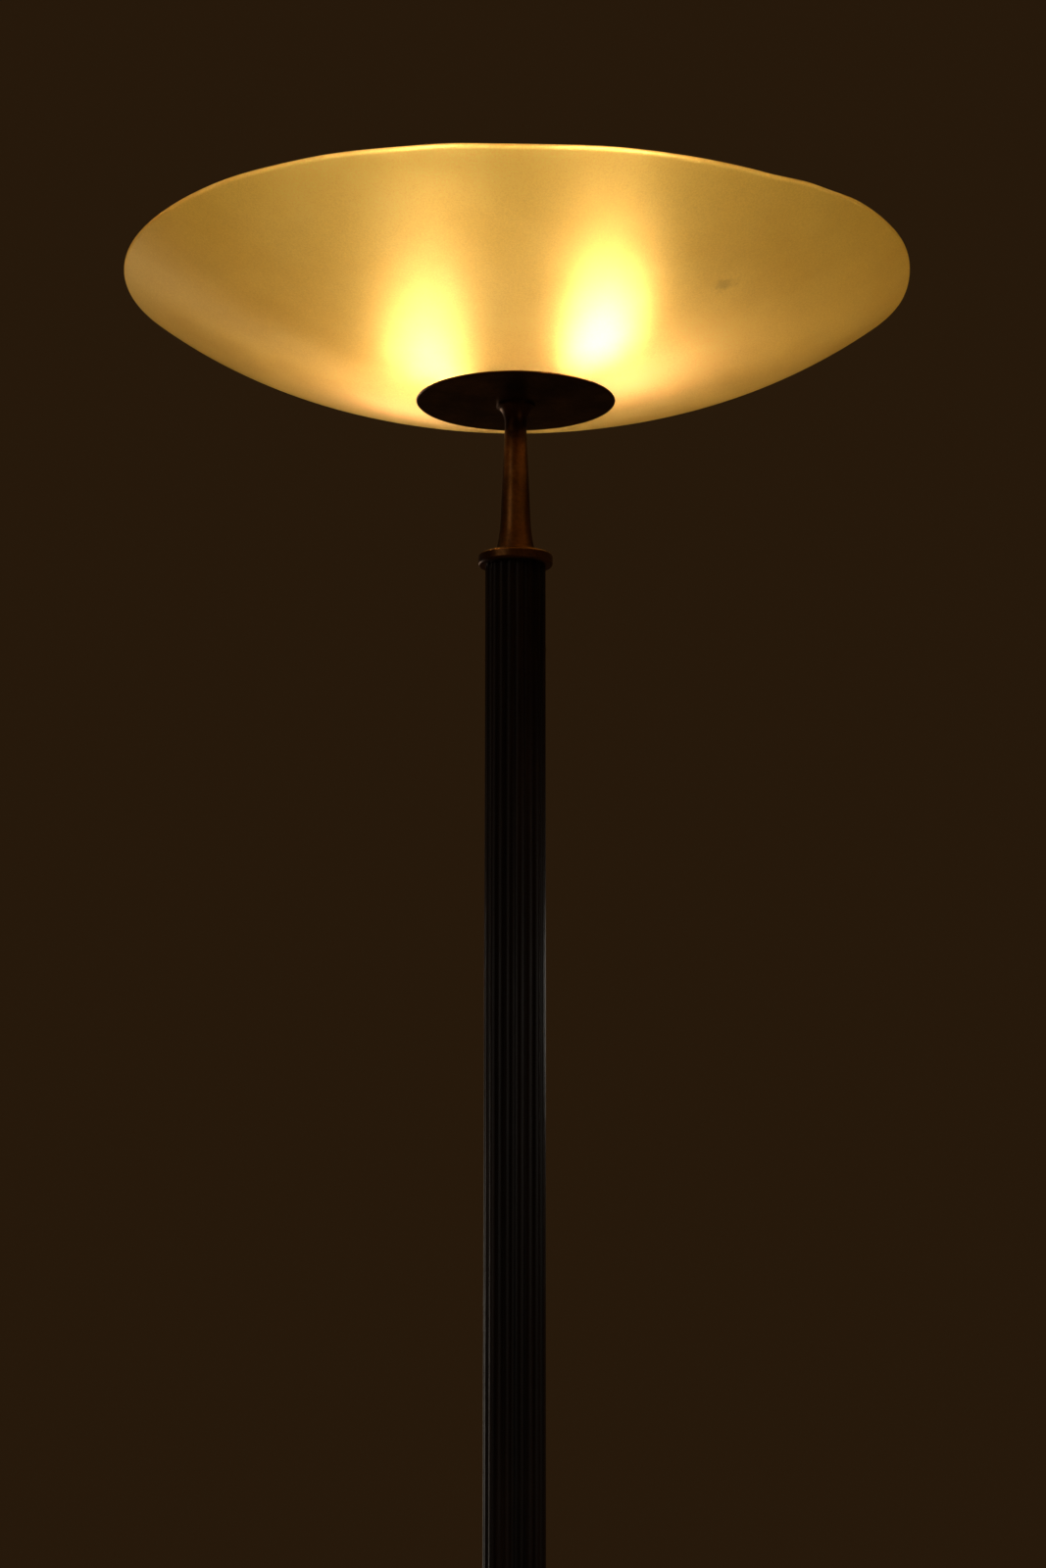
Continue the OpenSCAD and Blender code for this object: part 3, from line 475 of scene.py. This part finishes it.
def frosted_glass():
    """Thick sandblasted glass: it smears each bulb up and down, with a tuned glow added to it, which is
    painted light standing in for the bulbs' light through the glass.
    """
    t = Tree("frosted_glass")
    grit = t.noise(900, 3, 0.65)
    cloud = t.noise(11, 5, 0.6)
    fine = t.noise(60, 4, 0.6)
    height = t.math("ADD", t.math("MULTIPLY", grit, 0.7), t.math("MULTIPLY", fine, 0.3))
    normal = t.bump(height, 0.25, 0.0006)
    off = t.node("VectorMath", {0: t.coords, 1: SMUDGE}, operation="DISTANCE").outputs["Value"]
    edge = t.levels(t.noise(130, 3, 0.6), 0.3, 0.7, -SMUDGE_RAGGED, SMUDGE_RAGGED)
    mark = t.levels(t.math("ADD", off, edge), *SMUDGE_FADE, SMUDGE_CLEAR, 1.0)
    blast = t.math("MULTIPLY", t.levels(grit, 0.3, 0.7, 0.86, 1.0), mark)
    clean = t.ramp(cloud, [(0.35, GLASS_DARK), (0.65, GLASS_LIGHT)])
    tint = t.node("VectorMath", {0: clean, 1: blast}, operation="MULTIPLY").outputs[0]
    flat = t.node("VectorMath", {0: t.coords, 1: (1, 1, 0)}, operation="MULTIPLY").outputs[0]
    outward = t.node("VectorMath", {0: flat}, operation="NORMALIZE").outputs[0]

    def tilted(tilt):
        lean = t.node("VectorMath", {0: outward, "Scale": tilt}, operation="SCALE").outputs[0]
        return t.node("VectorMath", {0: normal, 1: lean}, operation="ADD").outputs[0]

    def rough(roughness, direction):
        return t.node(
            "BsdfGlass",
            {"Color": tint, "Roughness": roughness, "IOR": GLASS_IOR, "Normal": direction},
        )

    clear_share = 1 - WIDE_SHARE - MILKY_SHARE
    parts = [(clear_share * share, rough(LOBE_ROUGHNESS, tilted(tilt))) for tilt, share in LOBES]
    parts.append((WIDE_SHARE, rough(WIDE_ROUGHNESS, normal)))
    parts.append((MILKY_SHARE, t.node("BsdfTranslucent", {"Color": tint, "Normal": normal})))
    # painted light: emission on the glass that falls off with the distance from each bulb, standing in
    # for their light coming through it
    glow = None
    for centre in BULBS:
        away = t.node(
            "VectorMath", {0: t.coords, 1: tuple(centre)}, operation="DISTANCE"
        ).outputs["Value"]
        square = t.math("DIVIDE", 1.0, t.math("MULTIPLY", away, away))
        far = t.node("VectorMath", {0: FAR_GLOW, "Scale": square}, operation="SCALE").outputs[0]
        fourth = t.math("MULTIPLY", square, square)
        near = t.node("VectorMath", {0: NEAR_GLOW, "Scale": fourth}, operation="SCALE").outputs[0]
        both = t.node("VectorMath", {0: far, 1: near}, operation="ADD").outputs[0]
        if glow is not None:
            both = t.node("VectorMath", {0: glow, 1: both}, operation="ADD").outputs[0]
        glow = both
    # painted light: extra emission where the glass faces the viewer, fading to the sides
    turned_away = t.node("LayerWeight", {"Blend": 0.5}).outputs["Facing"]
    facing = t.math("POWER", t.math("SUBTRACT", 1.0, turned_away), FACING_POWER)
    ahead = t.node("VectorMath", {0: FACING_GLOW, "Scale": facing}, operation="SCALE").outputs[0]
    glow = t.node("VectorMath", {0: glow, 1: ahead}, operation="ADD").outputs[0]
    speckle = t.math("MULTIPLY", t.levels(grit, 0.3, 0.7, 0.90, 1.10), mark)
    # the painted light of the glass, speckled by the grit and dimmed by the faint mark
    light = t.node("Emission", {"Color": glow, "Strength": speckle})
    lit = t.node("AddShader", {0: blended(t, parts).outputs[0], 1: light.outputs[0]})
    return t.finish(lit)


# ---- mesh helpers ----

def new_mesh(name, vertices, faces, smooth=True):
    """An object made from vertices and faces, linked to the scene."""
    mesh = bpy.data.meshes.new(name)
    mesh.from_pydata(vertices, [], faces)
    mesh.update()
    if smooth:
        mesh.shade_smooth()
    piece = bpy.data.objects.new(name, mesh)
    scene.collection.objects.link(piece)
    return piece


def lathe(name, outline, steps):
    """A closed outline of (radius, height) turned about the Z axis.

    outline(angle) gives the points at one angle, so that the shape may vary round the axis.
    """
    rings = [outline(2 * math.pi * k / steps) for k in range(steps)]
    count = len(rings[0])
    vertices = [
        (r * math.cos(2 * math.pi * k / steps), r * math.sin(2 * math.pi * k / steps), z)
        for k, ring in enumerate(rings)
        for r, z in ring
    ]
    faces = [
        (
            k * count + i,
            (k + 1) % steps * count + i,
            (k + 1) % steps * count + (i + 1) % count,
            k * count + (i + 1) % count,
        )
        for k in range(steps)
        for i in range(count)
    ]
    return new_mesh(name, vertices, faces)


# ---- glass bowl ----

GLASS_T = 4.5 * MM
BOWL_STRAIGHT = 0.55
BOWL_LEAN = 0.7 * MM
HOLE_R = 13 * MM
HOLE_EDGE = 1 * MM
# Radii of the rings on the flat seat, and how far inside the saucer's rim the finer rings start
SEAT_RINGS = [0.03, 0.045, 0.055]
CURVE_INSET = 2 * MM
CURVE_STEPS = 44
TURN_STEPS = 288
# Step over which the slope of the glass is taken
SLOPE_STEP = 1e-4

# Turn round the axis in degrees (0 is the right, -90 the front), height of the rim in mm
RIM_HEIGHTS = [
    (-200, -0.8), (-152, 0.2), (-135, 0.9), (-120, 0.0), (-103, -1.6), (-88, -3.3),
    (-76, -2.5), (-54, -2.7), (-44, -0.2), (-33, 2.2), (-15, 2.4), (8, -2.2),
    (30, -1.6), (90, -1.0), (160, -0.8), (208, 0.2),
]


def rim_wave(angle):
    """How far the hand-formed rim stands above or below its mean height."""
    turn = (math.degrees(angle) + 180) % 360 - 180
    for (a, low), (b, high) in zip(RIM_HEIGHTS, RIM_HEIGHTS[1:]):
        if a <= turn <= b:
            ease = (1 - math.cos(math.pi * (turn - a) / (b - a))) / 2
            return (low + (high - low) * ease) * MM


def bowl_share(r):
    """How far the radius r has come from the saucer to the rim, from 0 to 1."""
    return max(r - PLATE_R, 0) / (BOWL_R - GLASS_T / 2 - PLATE_R)


def bowl_middle(r):
    """Height of the middle of the glass at the radius r, as in the CAD part."""
    s = bowl_share(r)
    rise = RIM_Z - GLASS_Z - GLASS_T
    return GLASS_Z + GLASS_T / 2 + rise * (BOWL_STRAIGHT * s + (1 - BOWL_STRAIGHT) * s**3)


def bowl_outline(angle):
    """Closed outline of the glass at one angle: outside, rounded rim, inside."""
    wave = rim_wave(angle)
    rim = BOWL_R - GLASS_T / 2
    radii = [HOLE_R, HOLE_R + HOLE_EDGE, *SEAT_RINGS]
    radii += [
        PLATE_R - CURVE_INSET + (rim - PLATE_R + CURVE_INSET) * k / CURVE_STEPS
        for k in range(CURVE_STEPS + 1)
    ]
    half = GLASS_T / 2

    def at(r, side):
        rise = bowl_middle(r + SLOPE_STEP) - bowl_middle(r - SLOPE_STEP)
        slope = math.atan2(rise, 2 * SLOPE_STEP)
        lift = wave * bowl_share(r) ** 2
        return (
            r + side * half * math.sin(slope),
            bowl_middle(r) - side * half * math.cos(slope) + lift,
        )

    outer = [at(r, 1) for r in radii]
    inner = [at(r, -1) for r in reversed(radii)]
    slope = math.atan2(bowl_middle(rim) - bowl_middle(rim - 2 * SLOPE_STEP), 2 * SLOPE_STEP)
    middle_z = bowl_middle(rim) + wave
    edge = [
        (
            rim + half * math.sin(slope + turn),
            middle_z - half * math.cos(slope + turn),
        )
        for turn in [math.radians(a) for a in range(20, 180, 20)]
    ]
    return outer + edge + inner


def make_bowl():
    """The glass bowl, leaning a little to one side, in place of the CAD one."""
    bowl = lathe("frosted_bowl", bowl_outline, TURN_STEPS)
    for vertex in bowl.data.vertices:
        vertex.co.x += BOWL_LEAN * bowl_share(math.hypot(vertex.co.x, vertex.co.y))
    bowl.data.materials.append(frosted_glass())
    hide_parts("glass_bowl")
    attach(bowl, "lamp")


make_bowl()


# ---- button spring ----

def make_spring():
    """A smooth coil in place of the CAD one."""
    low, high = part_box("button_spring")
    centre = (low + high) / 2
    wire = 0.4 * MM
    coil = (high.x - low.x) / 2 - wire
    turns, per_turn, around = 4.5, 36, 8
    count = int(turns * per_turn) + 1
    vertices, faces = [], []
    for k in range(count):
        angle = 2 * math.pi * k / per_turn
        out = Vector((math.cos(angle), math.sin(angle), 0))
        z = low.z + wire + (high.z - low.z - 2 * wire) * k / (count - 1)
        for i in range(around):
            side = 2 * math.pi * i / around
            point = out * (coil + wire * math.cos(side)) + Vector((0, 0, z + wire * math.sin(side)))
            vertices.append((centre.x + point.x, centre.y + point.y, point.z))
    for k in range(count - 1):
        for i in range(around):
            j = (i + 1) % around
            faces.append((k * around + i, (k + 1) * around + i, (k + 1) * around + j, k * around + j))
    faces.append(tuple(range(around)))
    faces.append(tuple(reversed(range((count - 1) * around, count * around))))
    spring = new_mesh("coil_spring", vertices, faces)
    spring.data.materials.append(MATERIALS["zinc_steel"])
    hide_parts("button_spring")
    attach(spring, "lamp")
    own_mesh(spring)


# ---- materials of the CAD nodes ----

MATERIALS = {
    "base_felt": felt("base_felt", (0.030, 0.052, 0.026), (0.085, 0.130, 0.070)),
    "black_steel": painted_steel(),
    "zinc_steel": zinc_steel(),
    "cast_weight": cast_iron(),
    "aged_brass": aged_brass(),
    "bright_brass": bright_brass(),
    "bakelite": bakelite(),
    "tinned": zinc_steel("tinned", (0.66, 0.64, 0.59)),
    "button_plastic": bakelite("button_plastic", (0.085, 0.026, 0.012), (0.17, 0.060, 0.026)),
    "dark_wood": dark_wood(),
    "gasket_felt": felt("gasket_felt", (0.040, 0.028, 0.019), (0.115, 0.085, 0.060)),
    "black_rubber": rubber(),
    "ceramic": ceramic(),
    "bulb_cap": zinc_steel("bulb_cap", (0.66, 0.64, 0.60)),
    "filament": lit_filament(),
    "wire_grey": insulation("wire_grey", (0.20, 0.185, 0.16), (0.34, 0.32, 0.28)),
    "wire_brown": insulation("wire_brown", (0.10, 0.032, 0.018), (0.20, 0.070, 0.040)),
    "wire_blue": insulation("wire_blue", (0.025, 0.050, 0.10), (0.055, 0.10, 0.19)),
    "wire_green": insulation("wire_green", (0.085, 0.14, 0.035), (0.17, 0.25, 0.070)),
}


def dress_nodes():
    """Gives each CAD node the material of its slot in the record."""
    for entry in frame["record"]["subparts"]:
        node, slot = entry["node"], entry["material_slot"]
        if slot == "bulb_glass":
            material = lit_bulb(int(node[-1]), BULB_STRENGTH)
        elif slot == "frosted_glass":
            continue
        else:
            material = MATERIALS[slot]
        nodes[node].data.materials.clear()
        nodes[node].data.materials.append(material)


dress_nodes()
make_spring()


# ---- studio: pale floor, soft light ----

def make_floor():
    """A wide pale floor for the lamp to stand on."""
    radius, steps = 14.0, 96
    vertices = [(0, 0, 0)] + [
        (radius * math.cos(2 * math.pi * k / steps), radius * math.sin(2 * math.pi * k / steps), 0)
        for k in range(steps)
    ]
    faces = [(0, k + 1, (k + 1) % steps + 1) for k in range(steps)]
    floor = new_mesh("floor", vertices, faces, smooth=False)
    t = Tree("floor_plaster")
    cloud = t.noise(2.5, 4, 0.5)
    floor.data.materials.append(
        t.finish(
            t.principled(
                Base_Color=t.ramp(cloud, [(0.3, (0.60, 0.57, 0.53)), (0.7, (0.64, 0.61, 0.57))]),
                Roughness=0.75,
            )
        )
    )
    # kept out of mirror reflections, because this pale floor would brighten the brass and the glass
    floor.visible_glossy = False


def area_light(name, place, target, size, power, colour):
    """A soft square light at one place, facing another, which the camera doesn't see."""
    data = bpy.data.lights.new(name, "AREA")
    data.shape = "SQUARE"
    data.size = size
    data.energy = power
    data.color = colour
    light = bpy.data.objects.new(name, data)
    light.location = place
    light.rotation_mode = "QUATERNION"
    light.rotation_quaternion = (Vector(target) - Vector(place)).to_track_quat("-Z", "Y")
    light.visible_camera = False
    scene.collection.objects.link(light)


FLOOR_LIGHT_DROP = 0.15
FLOOR_LIGHT_SIZE = 1.4
ROOM_COLOUR = (0.0200, 0.0098, 0.0034, 1)


def make_lights():
    """Three soft lights round the lamp, and three low ones for the floor and the base."""
    middle = (0, 0, RIM_Z * 0.6)
    area_light("key", (-2.6, -2.4, 3.2), middle, 1.8, 7, (1.0, 0.88, 0.72))
    area_light("fill", (2.4, -2.6, 1.0), middle, 1.2, 1.2, (1.0, 0.82, 0.60))
    area_light("back", (-2.0, 2.6, 1.0), middle, 1.0, 6, (1.0, 0.90, 0.76))
    # these hang lower than the bowl and face down, so that they light the floor and the base only
    low = GLASS_Z - FLOOR_LIGHT_DROP
    for name, x, y, power in (("left", -1.5, -1.1, 10), ("right", 1.5, -0.7, 9), ("rear", 0.3, 1.7, 9)):
        below = (x, y, 0)
        area_light("floor_" + name, (x, y, low), below, FLOOR_LIGHT_SIZE, power, (1.0, 0.93, 0.82))


def make_world():
    """The dark warm room round the lamp."""
    world = bpy.data.worlds.new("studio")
    world.use_nodes = True
    back = world.node_tree.nodes["Background"]
    back.inputs["Color"].default_value = ROOM_COLOUR
    back.inputs["Strength"].default_value = 1.0
    scene.world = world


make_floor()
make_lights()
make_world()
